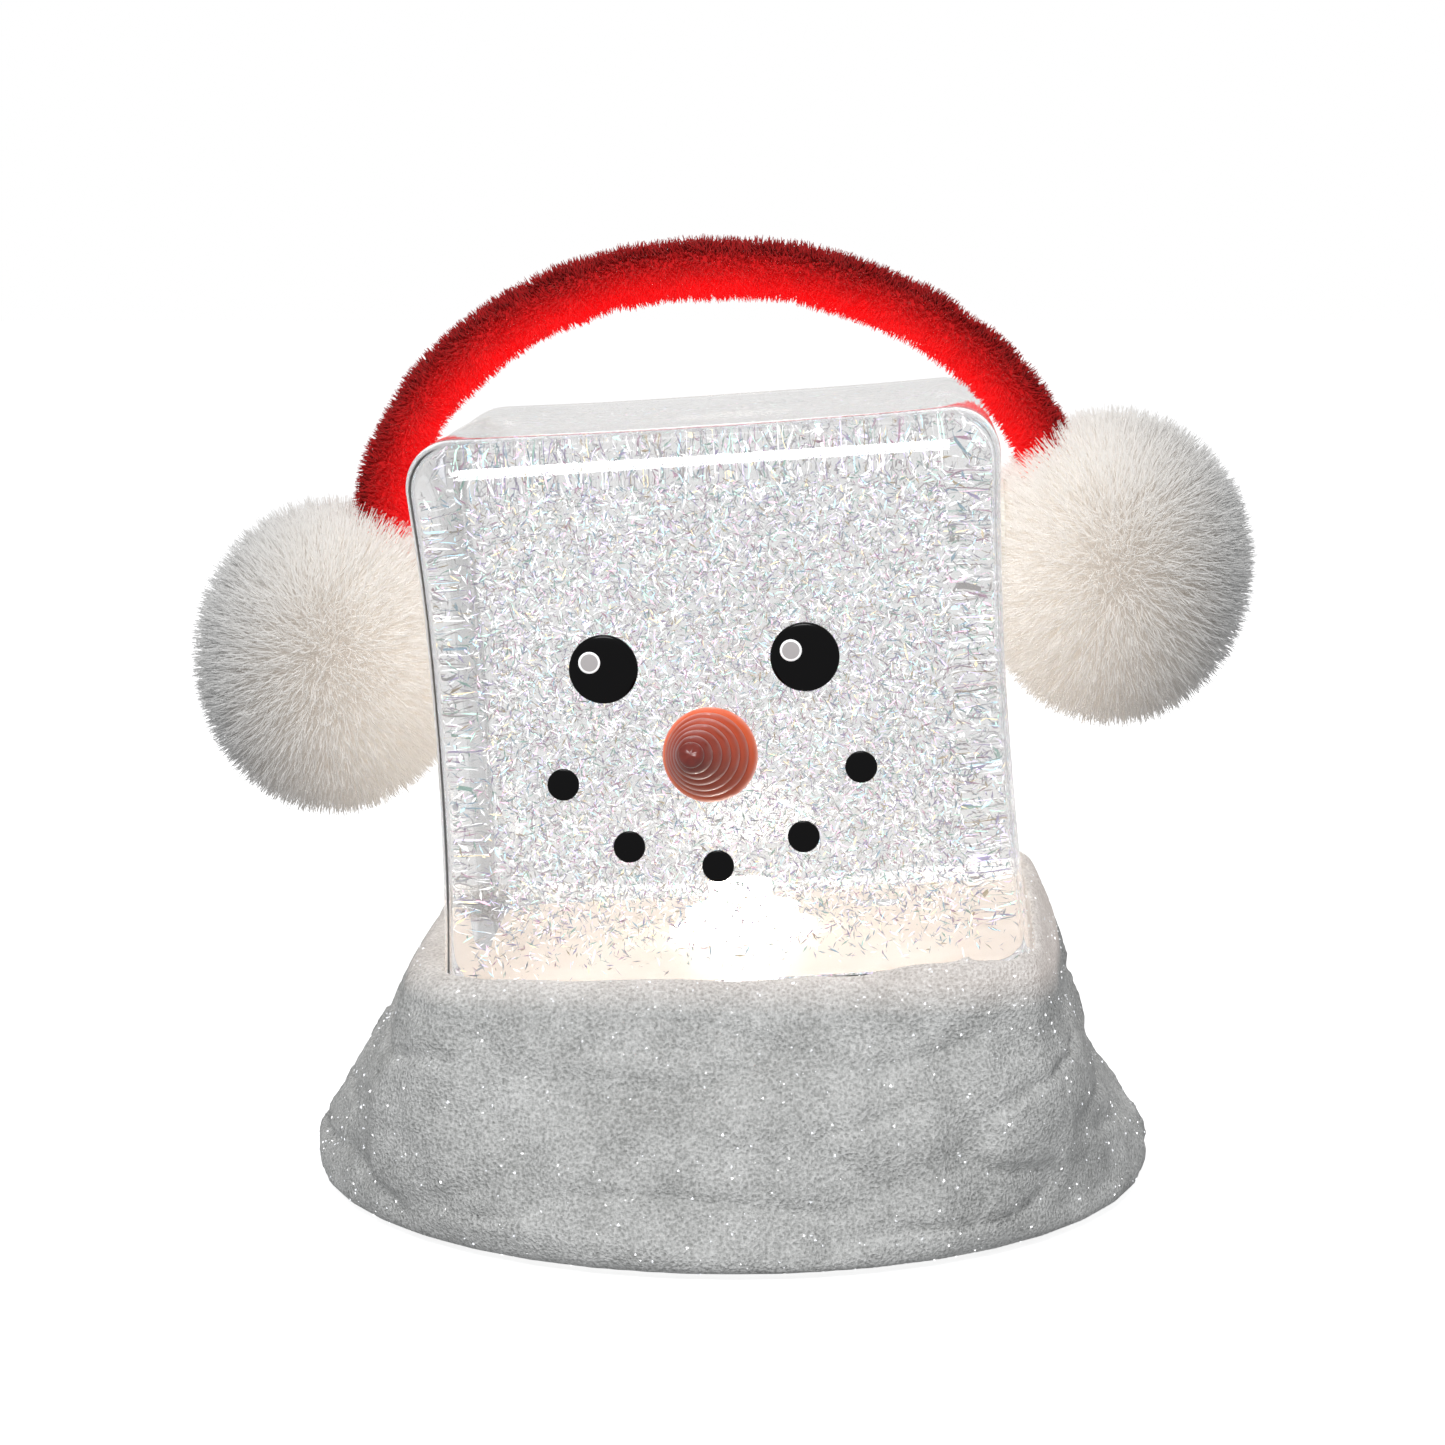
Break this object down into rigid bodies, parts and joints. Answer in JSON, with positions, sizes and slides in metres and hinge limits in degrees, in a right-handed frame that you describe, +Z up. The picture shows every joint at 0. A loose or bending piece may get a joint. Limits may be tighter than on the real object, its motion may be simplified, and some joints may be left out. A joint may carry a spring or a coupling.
{
  "type": "lit snowman water globe",
  "caption": "Tabletop lit ice-cube snowman: leaning clear water tank with glitter, painted face and plush earmuffs on a round snow base with a battery drive.",
  "frame": {"origin": "on the ground, midway between the outer faces of the two pompoms and under the middle of the base front to back", "axes": "+X to the right as the face is seen, +Y from the face to the back, +Z up"},
  "size_m": [0.1844, 0.15, 0.1659],
  "materials": {
    "clear_acrylic": "clear moulded acrylic, polished, with soft ice-cube ridges",
    "water": "clear water with iridescent glitter",
    "black_rubber": "matt black rubber",
    "black_gloss": "gloss black",
    "orange_resin": "translucent orange-red resin, glossy, stepped rings",
    "red_plush": "short red plush pile",
    "white_fur": "white faux fur",
    "clear_glue": "set glue",
    "glitter_snow": "fine white granules with sparse glitter on a moulded shell",
    "white_plastic": "satin moulded white",
    "foam_rubber": "closed-cell foam",
    "steel": "plain steel",
    "nickel": "nickel plate",
    "cell_jacket": "printed sleeve, plain blue with a bare band",
    "green_board": "solder-masked circuit board",
    "black_epoxy": "moulded chip",
    "led_epoxy": "clear domed warm-white LED",
    "red_lead": "insulated lead",
    "black_lead": "insulated lead"
  },
  "bodies": {
    "base": {"tank_shell": "clear_acrylic", "tank_floor": "clear_acrylic", "impeller_housing": "clear_acrylic", "water_fill": "water", "tank_seal": "black_rubber", "fill_plug": "black_rubber", "eye_left": "black_gloss", "eye_right": "black_gloss", "mouth_dot_1": "black_gloss", "mouth_dot_2": "black_gloss", "mouth_dot_3": "black_gloss", "mouth_dot_4": "black_gloss", "mouth_dot_5": "black_gloss", "carrot_nose": "orange_resin", "headband_plush": "red_plush", "pompom_left": "white_fur", "pompom_right": "white_fur", "glue_pad_left": "clear_glue", "glue_pad_right": "clear_glue", "snow_base": "glitter_snow", "motor_bracket": "white_plastic", "base_plate": "white_plastic", "battery_tray": "white_plastic", "foot_1": "foam_rubber", "foot_2": "foam_rubber", "foot_3": "foam_rubber", "foot_4": "foam_rubber", "impeller_pin": "steel", "motor_can": "steel", "headband_wire": "steel", "switch_body": "steel", "bracket_screw_1": "steel", "bracket_screw_2": "steel", "base_screw_1": "steel", "base_screw_2": "steel", "base_screw_3": "steel", "base_screw_4": "steel", "contact_positive": "nickel", "contact_negative": "nickel", "contact_link_1": "nickel", "contact_link_2": "nickel", "battery_1": "cell_jacket", "battery_2": "cell_jacket", "battery_3": "cell_jacket", "control_board": "green_board", "led_board": "green_board", "timer_chip": "black_epoxy", "led_1": "led_epoxy", "led_2": "led_epoxy", "battery_lead_red": "red_lead", "battery_lead_black": "black_lead"},
    "motor_rotor": {"motor_shaft": "steel", "magnet_carrier": "white_plastic", "drive_magnet_1": "nickel", "drive_magnet_2": "nickel"},
    "impeller_wheel": {"impeller": "white_plastic", "impeller_magnet": "nickel"},
    "battery_cover": {"battery_door": "white_plastic", "door_screw": "steel"},
    "switch_slider": {"switch_knob": "black_rubber"}
  },
  "joints": [
    {"name": "motor_spin", "type": "hinge", "parent": "base", "child": "motor_rotor", "pos_m": [0.00465, 0, 0.039], "axis": [-0.0684, 0, 0.9977], "continuous": true},
    {"name": "impeller_spin", "type": "hinge", "parent": "base", "child": "impeller_wheel", "pos_m": [0.00465, 0, 0.039], "axis": [-0.0684, 0, 0.9977], "continuous": true},
    {"name": "battery_door_hinge", "type": "hinge", "parent": "base", "child": "battery_cover", "pos_m": [0.0018, 0.05878, 0.00275], "axis": [1, 0, 0], "range_deg": [0, 100]},
    {"name": "switch_slide", "type": "slide", "parent": "base", "child": "switch_slider", "axis": [1, 0, 0], "range_m": [-0.0025, 0.0025]}
  ],
  "couplings": [
    {"joint": "impeller_spin", "follows": "motor_spin", "ratio": 1}
  ]
}
